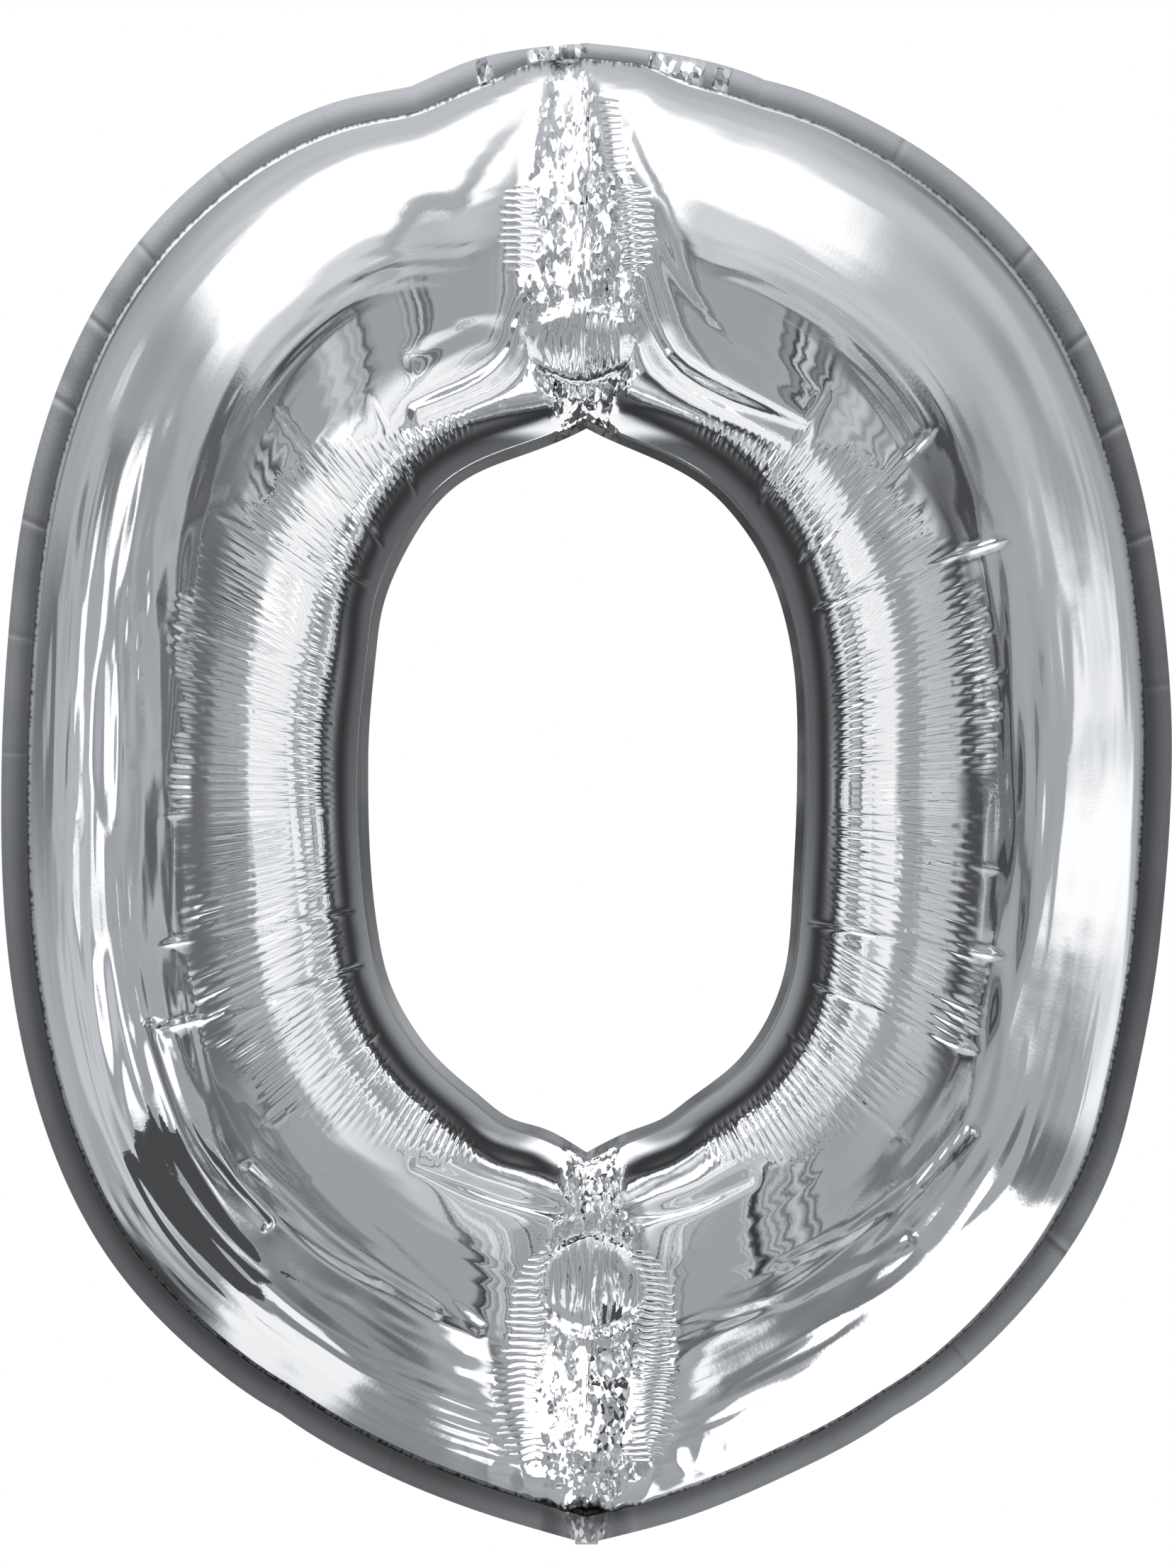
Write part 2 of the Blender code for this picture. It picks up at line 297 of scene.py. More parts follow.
# ---- the film's surface
class Film:
    """A grid over one panel: columns run round the ring, rows from the outer edge to the hole."""

    def __init__(self, side, pleats_per_half, rows, seed):
        self.side = side
        self.seed = seed
        u = np.linspace(0, 1, pleats_per_half * COLUMNS_PER_PLEAT + 1)
        inland = step(0, 0.03, u) * (1 - step(0.97, 1, u))
        down = u + 0.0016 * inland * line_noise(u, 0.011, seed + 40)
        up = down[-2:0:-1]
        self.half = np.concatenate([np.full(len(down), RIGHT), np.full(len(up), LEFT)])[:, None]
        self.share = np.concatenate([down, up])[:, None]
        self.pleat = np.arange(len(self.share))[:, None] / COLUMNS_PER_PLEAT
        self.outer = whole_edge("outer", down)
        self.hole = whole_edge("hole", down)
        self.place_rows(rows)
        self.inflate()

    def place_rows(self, count):
        """Where each row lies: flat on the two seams, and round the arch between them."""
        k = np.linspace(0, 1, count)
        turn = math.pi * (k - 0.10 * np.sin(2 * math.pi * k) / (2 * math.pi))
        self.turn = np.concatenate([np.zeros(SEAM_ROWS), turn, np.full(HOLE_ROWS, math.pi)])[None]
        on_seam = 1 - (1 - np.linspace(0, 1, SEAM_ROWS + 1)[:-1]) ** 2.5
        on_hole = np.linspace(0, 1, HOLE_ROWS + 1)[1:] ** 2.5
        self.on_outer = np.concatenate([on_seam, np.ones(count + HOLE_ROWS)])[None]
        self.on_hole = np.concatenate([np.zeros(count + SEAM_ROWS), on_hole])[None]

    def inflate(self):
        """The smooth inflated shape."""
        self.seam = OUTER_SEAM * (0.55 + 0.45 * step(0.022, 0.055, self.share))
        across = self.hole - self.outer
        width = np.linalg.norm(across, axis=1)[:, None]
        direction = across / width
        half_arch = (width - self.seam - HOLE_SEAM) / 2
        away = (
            self.seam * self.on_outer
            + half_arch * (1 - np.cos(self.turn))
            - CREST_SHIFT * np.sin(self.turn) ** 2
            + HOLE_SEAM * self.on_hole
        )
        rise = HALF_DEPTH * (width / width.max()) ** 0.9 * np.sin(self.turn) ** ARCH_POWER
        plan = self.outer[:, None, :] + direction[:, None, :] * away[..., None]
        x, z = plan[..., 0], plan[..., 1]
        self.find_pinch(x, z)
        left_flank = 1.3 + 0.9 * step(0.10, 0.30, z)
        wide = np.where(x < self.pinch_middle, left_flank, 1.0) * GROOVE_HALF_WIDTH
        near = np.abs(x - self.pinch_middle) / wide
        groove = 1 - GROOVE_DEPTH * np.exp(-(near**GROOVE_POWER))
        for_valve = (1 - step(0.010, 0.030, np.abs(x))) * (1 - step(-0.415, -0.39, z))
        y = self.side * (SEAM_HALF_GAP + 0.0011 * for_valve + rise * groove)
        lean = 0.0005 * (1 - self.on_outer) + 0.0003 * self.on_hole
        y = y + lean * (1 - for_valve)
        self.points = self.rounded(np.stack([x, y, z], axis=-1))
        run = np.linalg.norm(np.diff(self.points, axis=1), axis=2)
        self.arc = np.concatenate([np.zeros((len(x), 1)), np.cumsum(run, axis=1)], axis=1)
        crest = self.outer + direction * width / 2
        length = np.linalg.norm(np.diff(crest, axis=0), axis=1)
        self.along = np.concatenate([[0], np.cumsum(length)])[:, None]
        self.normals = self.find_normals()

    def rounded(self, points):
        """The points with every corner of the outline softened away from the two seams."""
        bell = np.hanning(CORNER_SMOOTHING)[1:-1]
        shifts = range(-(len(bell) // 2), len(bell) // 2 + 1)
        mean = sum(b * np.roll(points, k, axis=0) for b, k in zip(bell / bell.sum(), shifts))
        share = step(0.03, 0.06, self.share) * (1 - step(0.94, 0.97, self.share))
        weight = share * step(0, 0.35, np.sin(self.turn))
        return points + weight[..., None] * (mean - points)

    def find_pinch(self, x, z):
        """How far each point is from the middle of the pinch, in half widths of it."""
        top, low = np.array(TOP_PINCH[::-1]).T, np.array(LOW_PINCH[::-1]).T
        knots = [np.concatenate([low[k], top[k]]) for k in (0, 1, 2)]
        self.pinch_middle = np.interp(z, knots[0], knots[1])
        self.pinch_width = np.interp(z, knots[0], knots[2])
        self.pinch = (x - self.pinch_middle) / self.pinch_width

    def find_normals(self):
        ring = np.concatenate([self.points[-1:], self.points, self.points[:1]])
        d_column = ring[2:] - ring[:-2]
        d_row = np.gradient(self.points, axis=1)
        n = np.cross(d_column, d_row)
        n /= np.linalg.norm(n, axis=2)[..., None] + 1e-12
        return n * np.sign((n[..., 1] * self.side).sum())

    def push(self, height):
        """Moves the surface along its normals, in metres."""
        self.points = self.points + self.normals * height[..., None]


# ---- pleats, creases and folds
def pleat_start(film):
    """Where the pleats start across the tube: a ragged line near the crest."""
    begin = smooth_line(PLEAT_START, film.share) + 0.015
    return begin + 0.016 * line_noise(film.along, 0.05, film.seed + 3)


def pleats(film):
    """Fine pleats across the inner half of the tube, in groups: round-ended fingers where they
    start, then rows of dimples, then thin creases over nearly flat film."""
    rng = np.random.default_rng(film.seed + 1)
    index = np.floor(film.pleat).astype(int)
    count = index.max() + 2
    height = rng.uniform(0.55, 1.15, count)[index]
    early = rng.uniform(-0.012, 0.012, count)[index]
    turn = film.turn / math.pi
    into = turn - pleat_start(film) - early
    bulge = np.abs(np.sin(math.pi * film.pleat)) ** 0.75
    rounded = np.clip(into / 0.035 - 0.8 * (1 - bulge) ** 2, 0, 1) ** 0.5
    group = step(-0.60, 0.15, line_noise(film.along, PLEAT_GROUP, film.seed + 12))
    crossed = 1 + 0.30 * waves(film.along, film.arc, 0.02, 0.008, film.seed + 4)
    wander = 0.8 * np.sin(0.7 * film.pleat)
    dimples = 0.5 + 0.5 * np.sin(2 * math.pi * film.arc / DIMPLE_PITCH + wander)
    strong = (0.30 + 0.80 * group) * crossed * (1 - step(0.060, 0.095, into))
    strong += (0.45 + 0.55 * group) * dimples * between(0.095, 0.135, 0.015, into)
    strong += (0.08 + 0.22 * group) * between(0.14, 0.40, 0.015, into)
    strong += (0.10 + 0.14 * group) * between(0.750, 0.795, 0.012, turn)
    fade = 1 - step(0.80, 0.83, turn)
    reach = step(0.10, 0.15, film.share) * (1 - step(0.85, 0.90, film.share))
    total = PLEAT_HEIGHT * height * fade * rounded * strong * (bulge - 0.35)
    nearest = np.round(film.pleat).astype(int)
    thin = np.exp(-(((film.pleat - nearest) / 0.10) ** 2))
    depth = np.clip(rng.uniform(-0.5, 1.0, count), 0.05, 1)[nearest] * (0.15 + 0.85 * group)
    thin = thin * step(0.0, 0.03, into) * (1 - step(0.81, 0.84, turn))
    total -= THIN_CREASE_DEPTH * depth * thin
    return total * reach


def pleat_edge(film):
    """The low swell just outside the line where the pleats start."""
    reach = step(0.12, 0.18, film.share) * (1 - step(0.82, 0.88, film.share))
    into = film.turn / math.pi - pleat_start(film)
    return 0.0006 * reach * np.exp(-(((into + 0.03) / 0.03) ** 2))


def deep_creases(film):
    total = np.zeros(film.arc.shape)
    turn = film.turn / math.pi
    length = film.along.max() / 2
    creases = [(half, *crease) for half in DEEP_CREASES for crease in DEEP_CREASES[half]]
    for half, crest_share, hole_share, start, end, depth in creases:
        t = np.clip((turn - start) / (end - start), -0.5, 1.5)
        line = crest_share + (hole_share - crest_share) * t
        off = (film.share - line) * length
        cut = np.exp(-np.abs(off) / 0.0022) - 0.35 * np.exp(-((off / 0.010) ** 2))
        reach = between(start, end - 0.04, 0.04, turn) * (film.half == half)
        total -= depth / 1000 * reach * cut
    return total


def seam_gathers(film):
    """Short gathers where the film leaves the outer seam, and creases across the seam."""
    away = film.arc - film.seam
    phase = film.along / GATHER_PITCH + 0.9 * line_noise(film.along, 0.02, film.seed + 5)
    size = 0.5 + 0.5 * line_noise(film.along, 0.013, film.seed + 6)
    reach = step(0, 0.0012, away) * np.exp(-np.clip(away, 0, 1) / 0.0045)
    total = GATHER_HEIGHT * size * reach * (np.abs(np.sin(math.pi * phase)) - 0.6)
    length = film.along.max() / 2
    for half, share in [(half, share) for half in SEAM_CREASES for share in SEAM_CREASES[half]]:
        off = (film.share - share) * length * 1.15
        line = np.exp(-np.abs(off) / 0.0016) - 0.4 * np.exp(-((off / 0.006) ** 2))
        reach = (film.half == half) * (1 - step(0.012, 0.020, film.arc))
        total -= SEAM_CREASE_DEPTH * line * reach
    return total


def seam_waves(film):
    """The slow waves of the two seams, the same on both panels."""
    outer = 0.00020 * line_noise(film.along, 0.045, 91) + 0.00006 * line_noise(film.along, 0.012, 92)
    hole = 0.00015 * line_noise(film.along, 0.040, 93) + 0.00005 * line_noise(film.along, 0.011, 94)
    return outer * (1 - film.on_outer) ** 1.2 + hole * film.on_hole**1.2


def soft_shape(film):
    """Slow swells of the tube, and long shallow dents that run along it."""
    turn, t = film.turn / math.pi, film.share
    arch = np.sin(film.turn) ** 0.5
    swell = SWELL_HEIGHT * waves(film.along, film.arc, 0.26, 0.12, film.seed + 7)
    low_share = 0.18 + 0.82 * step(0.26, 0.42, t)
    dents = waves(film.along, film.arc, 0.15, 0.017, film.seed + 8, 18)
    ridged = 0.9 - np.abs(waves(film.along, film.arc, 0.12, 0.012, film.seed + 10, 16))
    outer_half = between(0.20, 0.46, 0.08, turn)
    lively = np.where(film.half == LEFT, 1.25, 0.85)
    dents = (DENT_HEIGHT * dents + RIDGE_HEIGHT * ridged) * outer_half * low_share * lively
    shoulder = between(0.10, 0.25, 0.05, t) + between(0.74, 0.92, 0.05, t)
    folds = waves(film.along + 0.25 * film.arc, film.arc, 0.16, 0.0085, film.seed + 9, 20)
    folds = SHOULDER_FOLD_HEIGHT * folds * shoulder * between(0.46, 0.60, 0.05, turn)
    return arch * (swell + dents + folds)


def folds(film):
    """Single long folds, each along its own line over the film."""
    total = np.zeros(film.arc.shape)
    place = film.points[..., (0, 2)]
    for line, depth, width in FOLDS:
        knots, steps = np.linspace(0, 1, len(line)), np.linspace(0, 1, 10)
        line = np.column_stack([smooth_line(list(zip(knots, v)), steps) for v in zip(*line)])
        far = np.full(film.arc.shape, 9.0)
        for start, end in zip(line, line[1:]):
            run = end - start
            t = np.clip(((place - start) @ run) / (run @ run), 0, 1)
            far = np.minimum(far, np.linalg.norm(place - start - t[..., None] * run, axis=2))
        total -= depth * (np.exp(-((far / width) ** 2)) - 0.4 * np.exp(-((far / (3 * width)) ** 2)))
    return total * step(0.05, 0.25, np.sin(film.turn))


def bulb(film, height, half_height, half_width, rise):
    """A small barrel of film standing out of a pinch, ribbed from top to bottom: its height and
    how much of the pinch it covers."""
    x, z = film.points[..., 0] - film.pinch_middle, film.points[..., 2]
    v = (z - height) / half_height
    u = x / (half_width * np.sqrt(np.clip(1 - 0.45 * v**2, 0.3, 1)))
    dome = np.clip(1 - u**2 - np.abs(v) ** 2.6, 0, 1) ** 0.75
    ribs = np.abs(np.sin(math.pi * (5.5 * u + 0.2 * waves(x, z, 0.02, 0.03, film.seed + 30))))
    cover = step(0, 0.35, dome)
    return rise * dome + RIB_HEIGHT * (ribs**0.7 - 0.6) * cover, cover


def pinches(film):
    """The gathered film where the tube folds at the top and the bottom: large crumples, hanging
    gathers near the top and a ribbed bulb low in each."""
    x, z, q = film.points[..., 0], film.points[..., 2], np.abs(film.pinch)
    arch = step(0, 0.10, np.sin(film.turn)) * np.ones(q.shape)
    total = -PINCH_DEPTH * (1 - step(0.30, 1.05, q))
    middle = 1 - step(0.25, 0.70, q)
    drape = step(0.335, 0.350, z)
    crumple = CRUMPLE_HEIGHT * facets(x, z, 0.010, 0.016, film.seed + 22)
    hanging = HANGING_HEIGHT * facets(x, z, 0.0050, 0.024, film.seed + 26)
    total += middle * (crumple * (1 - 0.85 * drape) + hanging * drape)
    tip = 1 - step(-0.385, -0.355, z)
    folded = TIP_CRUMPLE_HEIGHT * facets(x, z, 0.017, 0.030, film.seed + 24)
    total += tip * (1 - step(0.9, 2.6, q)) * folded
    film.bulbs = np.zeros(q.shape)
    for place in BULBS:
        barrel, cover = bulb(film, *place)
        total = total * (1 - 0.9 * cover) + barrel
        film.bulbs = np.maximum(film.bulbs, cover)
    return total * arch


def build_panel(side, pleats_per_half, rows, seed):
    film = Film(side, pleats_per_half, rows, seed)
    film.push(soft_shape(film) + folds(film) + pinches(film))
    film.points[..., 1] += seam_waves(film)
    film.normals = film.find_normals()
    film.push(pleats(film) + pleat_edge(film) + deep_creases(film) + seam_gathers(film))
    return film


# ---- meshes
def sheet_quads(rows, columns):
    """The quads of an open grid of points."""
    index = np.arange(rows * columns).reshape(rows, columns)
    return np.stack([index[:-1, :-1], index[:-1, 1:], index[1:, 1:], index[1:, :-1]], axis=-1)


def ring_quads(lines, places):
    """The quads of a grid of points whose last line joins its first."""
    index = np.arange(lines * places).reshape(lines, places)
    after = np.roll(index, -1, axis=0)
    return np.stack([index[:, :-1], after[:, :-1], after[:, 1:], index[:, 1:]], axis=-1)


def tube_quads(rings, places):
    """The quads of a stack of closed rings of points."""
    index = np.arange(rings * places).reshape(rings, places)
    after = np.roll(index, -1, axis=1)
    return np.stack([index[:-1], after[:-1], after[1:], index[1:]], axis=-1)


def film_mesh(film, tongue):
    """The panel's grid and its half of the neck as one mesh: its points and its quads."""
    columns, rows = film.points.shape[:2]
    quads = ring_quads(columns, rows)
    if film.side == FRONT:
        quads = quads[..., ::-1]
    tongue_points, tongue_quads = tongue
    points = np.concatenate([film.points.reshape(-1, 3), tongue_points])
    quads = np.concatenate([quads.reshape(-1, 4), tongue_quads + columns * rows])
    return points, quads


def strip(radius, rise, length, widths, seed, across=24):
    """A thin strip of film down through the seam, round the neck's fold and up behind the tip,
    gathered into soft ripples that all the plies share."""
    down = np.linspace(FOLD_Z + rise, FOLD_Z, 14)[:-1]
    path = [(FOLD_Y - radius, z, -1.0, 0.0) for z in down]
    for turn in np.linspace(0, FOLD_TURN, 18):
        path.append((FOLD_Y - radius * math.cos(turn), FOLD_Z - radius * math.sin(turn),
                     -math.cos(turn), -math.sin(turn)))
    y, z, ny, nz = path[-1]
    for far in np.linspace(0, length, 40)[1:]:
        path.append((y + far * math.sin(FOLD_TURN), z - far * math.cos(FOLD_TURN), ny, nz))
    y, z, ny, nz = np.array(path).T
    run = np.concatenate([[0], np.cumsum(np.hypot(np.diff(y), np.diff(z)))])
    run = (run / run[-1])[:, None]
    side = np.linspace(-1, 1, across + 1)[None, :]
    width = np.interp(run, [0, 0.3, 1], widths)
    ripple = STRIP_RIPPLE * np.sin(side * 9 + 1.3 * run * 6) * step(0.15, 0.5, run)
    x = side * width / 2 * (1 + 0.03 * waves(run, side, 0.3, 1.2, seed))
    points = np.stack([x, y[:, None] + ny[:, None] * ripple, z[:, None] + nz[:, None] * ripple], -1)
    return points.reshape(-1, 3), sheet_quads(*points.shape[:2]).reshape(-1, 4)


def margin_painted_shades(film):
    """The painted shade on the heat-sealed film, as the share of its colour each point keeps: the outer
    margin darkens towards the tube and towards the bottom, the hole's margin is dark all over."""
    right = np.interp(film.share, *np.array(MARGIN_PAINTED_SHADE_RIGHT).T)
    left = np.interp(film.share, *np.array(MARGIN_PAINTED_SHADE_LEFT).T)
    outer = np.where(film.half == RIGHT, right, left) * (1 - 0.55 * step(0.2, 0.9, film.on_outer))
    return outer, 0.16 + 0.34 * step(0.62, 0.82, film.share)


def mark_film(obj, film):
    """A crisp line where the film leaves each seam, and how far each point is heat-sealed, darkened by
    painted shade, combed into short pleats or crumpled."""
    rng = np.random.default_rng(film.seed + 15)
    ragged = DULL_AND_SHADED_REACH * (1 + 0.35 * rng.uniform(-1, 1, film.share.shape))
    away = film.arc - film.seam
    near_outer = np.where(away < 0, 1.0, 1 - step(0.7, 1.0, away / ragged))
    near_hole = np.clip(1 - (film.arc[:, -1:] - HOLE_SEAM - film.arc) / 0.0015, 0, 1)
    outer_painted_shade, hole_painted_shade = margin_painted_shades(film)
    # Painted shade: the margins' colour is darkened to stand for the darker surroundings they reflect.
    painted_shade_factor = 1 - near_outer * (1 - outer_painted_shade) - near_hole * (1 - hole_painted_shade)
    q, side, z = np.abs(film.pinch), film.pinch > 0, film.points[..., 2]
    tall = between(0.298, 0.340, 0.006, z) + between(-0.372, -0.262, 0.008, z)
    tall += between(0.352, 0.392, 0.006, z) * side
    middle = np.where((z > 0.346) & side, 1.05, 0.88)
    combed = np.clip(1.35 - np.abs(q - middle) / 0.28, 0, 1) * tall * (1 - 0.9 * film.bulbs)
    crumpled = (1 - step(0.45, 0.80, q)) * (1 - 0.8 * film.bulbs)
    crumpled += 0.8 * (1 - step(0.7, 1.2, q)) * (1 - np.clip(tall, 0, 1)) * (1 - film.bulbs)
    for half, first, last in MARGIN_CRUMPLES:
        patch = between(first, last, 0.002, film.share) * (film.half == half) * (away < 0)
        patch = patch * step(0.1, 0.3, film.on_outer)
        crumpled += 1.1 * patch
        # A crumpled patch takes none of the painted shade.
        painted_shade_factor += (1 - painted_shade_factor) * patch
        near_outer = near_outer * (1 - patch)
    layers = (("sealed", np.maximum(near_outer, near_hole)), ("painted_shade_factor", painted_shade_factor), ("combed", combed),
              ("crumpled", crumpled))
    for name, amount in layers:
        values = np.full(len(obj.data.vertices), 1.0 if name == "painted_shade_factor" else 0.0)
        values[: amount.size] = np.clip(amount, 0, 1).ravel()
        obj.data.attributes.new(name, "FLOAT", "POINT").data.foreach_set("value", values)
    columns, rows = film.points.shape[:2]
    ends = np.empty(2 * len(obj.data.edges), int)
    obj.data.edges.foreach_get("vertices", ends)
    ends = ends.reshape(-1, 2)
    row = ends % rows
    weld = np.isin(row, (SEAM_ROWS, rows - 1 - HOLE_ROWS)).all(axis=1)
    sharp = obj.data.attributes.new("sharp_edge", "BOOLEAN", "EDGE")
    sharp.data.foreach_set("value", weld & (ends < columns * rows).all(axis=1))
    obj.data.update()


def object_from(name, points, quads):
    mesh = bpy.data.meshes.new(name)
    mesh.from_pydata(np.asarray(points).tolist(), [], np.asarray(quads).tolist())
    mesh.shade_smooth()
    obj = bpy.data.objects.new(name, mesh)
    bpy.context.scene.collection.objects.link(obj)
    return obj


# ---- materials
def new_material(name):
    material = bpy.data.materials.new(name)
    material.use_nodes = True
    tree = material.node_tree
    return material, tree, tree.nodes["Principled BSDF"]


def node(tree, kind, inputs=(), **settings):
    made = tree.nodes.new(kind)
    for key, value in settings.items():
        setattr(made, key, value)
    for key, value in dict(inputs).items():
        made.inputs[key].default_value = value
    return made


def remap(tree, source, low, high, to_low, to_high):
    made = node(tree, "ShaderNodeMapRange")
    for key, value in zip((1, 2, 3, 4), (low, high, to_low, to_high)):
        made.inputs[key].default_value = value
    tree.links.new(source, made.inputs[0])
    return made.outputs[0]


def vector_node(tree, operation, *values, kind="ShaderNodeVectorMath"):
    made = node(tree, kind, operation=operation)
    for socket, value in zip(made.inputs, values):
        if isinstance(value, (int, float, tuple)):
            socket.default_value = value
        else:
            tree.links.new(value, socket)
    return made


def math_node(tree, operation, *values):
    return vector_node(tree, operation, *values, kind="ShaderNodeMath").outputs[0]


def noise(tree, place, **inputs):
    made = node(tree, "ShaderNodeTexNoise", {key.title(): value for key, value in inputs.items()})
    tree.links.new(place, made.inputs["Vector"])
    return made.outputs["Fac"]


def attribute(tree, name):
    return node(tree, "ShaderNodeAttribute", attribute_name=name).outputs["Fac"]


def tinted(tree, factor, colours):
    """A colour between two, as the factor says."""
    tint = node(tree, "ShaderNodeMix", data_type="RGBA")
    tint.inputs["A"].default_value, tint.inputs["B"].default_value = colours
    tree.links.new(factor, tint.inputs["Factor"])
    return tint.outputs["Result"]


def foil_material(name):
    """Vacuum-metallised film: a mirror with a faint haze, rubbed patches and hairline scratches, and
    painted shade on its sealed margins.
    """
    material, tree, shader = new_material(name)
    link = tree.links.new
    shader.inputs["Metallic"].default_value = 1.0
    place = node(tree, "ShaderNodeTexCoord").outputs["Object"]
    rubbed = noise(tree, place, scale=14.0, detail=6.0, roughness=0.6)
    stretch = node(tree, "ShaderNodeMapping", {"Scale": (160.0, 160.0, 9.0), "Rotation": (0.2, 0.5, 0.1)})
    link(place, stretch.inputs["Vector"])
    hairs = noise(tree, stretch.outputs[0], scale=6.0, detail=3.0)
    # The film's colour, scaled down by the painted shade on its margins, sets both its base colour and its
    # specular tint.
    tint_with_painted_shade = vector_node(tree, "SCALE", tinted(tree, rubbed, FILM_COLOURS))
    link(attribute(tree, "painted_shade_factor"), tint_with_painted_shade.inputs["Scale"])
    link(tint_with_painted_shade.outputs[0], shader.inputs["Base Color"])
    link(tint_with_painted_shade.outputs[0], shader.inputs["Specular Tint"])
    haze = remap(tree, rubbed, 0.35, 0.7, 0.030, 0.075)
    scratch = remap(tree, hairs, 0.62, 0.72, 0.0, 0.05)
    rough = math_node(tree, "ADD", haze, scratch)
    pressed = node(tree, "ShaderNodeMix", data_type="FLOAT")
    link(attribute(tree, "sealed"), pressed.inputs["Factor"])
    link(rough, pressed.inputs["A"])
    pressed.inputs["B"].default_value = PRESSED_ROUGHNESS
    link(pressed.outputs["Result"], shader.inputs["Roughness"])
    bump = node(tree, "ShaderNodeBump", {"Strength": 0.05, "Distance": 0.0004})
    link(noise(tree, place, scale=420.0, detail=2.0), bump.inputs["Height"])
    link(gathered_normal(tree, place), bump.inputs["Normal"])
    link(bump.outputs["Normal"], shader.inputs["Normal"])
    return material


def gathered_normal(tree, place):
    """The film's normal with the finest gathers of the two pinches: a comb of short level pleats
    and small flat-sided crystals."""
    link = tree.links.new
    height = node(tree, "ShaderNodeSeparateXYZ")
    link(place, height.inputs[0])
    wander = noise(tree, place, scale=38.0, detail=1.0)
    count = math_node(tree, "MULTIPLY", height.outputs["Z"], 1 / COMB_PITCH)
    count = math_node(tree, "ADD", count, math_node(tree, "MULTIPLY", wander, 2.2))
    saw = math_node(tree, "SUBTRACT", math_node(tree, "FRACT", count), 0.5)
    ends = node(tree, "ShaderNodeTexWhiteNoise", noise_dimensions="1D")
    link(math_node(tree, "FLOOR", count), ends.inputs["W"])
    ragged = math_node(tree, "MULTIPLY", ends.outputs["Value"], 0.45)
    reach = remap(tree, math_node(tree, "SUBTRACT", attribute(tree, "combed"), ragged), 0.0, 0.30, 0.0, 1.0)
    tilt = node(tree, "ShaderNodeCombineXYZ")
    lean = math_node(tree, "MULTIPLY", saw, reach)
    link(math_node(tree, "MULTIPLY", lean, -COMB_TILT), tilt.inputs["Z"])
    total = node(tree, "ShaderNodeNewGeometry").outputs["Normal"]
    total = vector_node(tree, "ADD", total, tilt.outputs[0]).outputs[0]
    crumpled = attribute(tree, "crumpled")
    for scale, stretch, strength in CRYSTALS:
        spread = node(tree, "ShaderNodeMapping", {"Scale": stretch})
        link(place, spread.inputs["Vector"])
        cells = node(tree, "ShaderNodeTexVoronoi", {"Scale": scale})
        link(spread.outputs[0], cells.inputs["Vector"])
        lean = vector_node(tree, "SUBTRACT", cells.outputs["Color"], (0.5, 0.5, 0.5))
        lean = vector_node(tree, "SCALE", lean.outputs[0])
        link(math_node(tree, "MULTIPLY", crumpled, strength), lean.inputs["Scale"])
        total = vector_node(tree, "ADD", total, lean.outputs[0]).outputs[0]
    return vector_node(tree, "NORMALIZE", total).outputs[0]


def valve_material(name):
    """Milky, slightly crinkled polyethylene film."""
    material, tree, shader = new_material(name)
    link = tree.links.new
    shader.inputs["Transmission Weight"].default_value = 0.35
    shader.inputs["IOR"].default_value = 1.5
    place = node(tree, "ShaderNodeTexCoord").outputs["Object"]
    cloud = noise(tree, place, scale=90.0, detail=5.0)
    link(tinted(tree, cloud, VALVE_COLOURS), shader.inputs["Base Color"])
    link(remap(tree, cloud, 0.3, 0.7, 0.22, 0.42), shader.inputs["Roughness"])
    bump = node(tree, "ShaderNodeBump", {"Strength": 0.3, "Distance": 0.0003})
    link(cloud, bump.inputs["Height"])
    link(bump.outputs["Normal"], shader.inputs["Normal"])
    return material


# ---- studio
def box(first, last, near, far):
    return [(first, near), (last, near), (last, far), (first, far)]


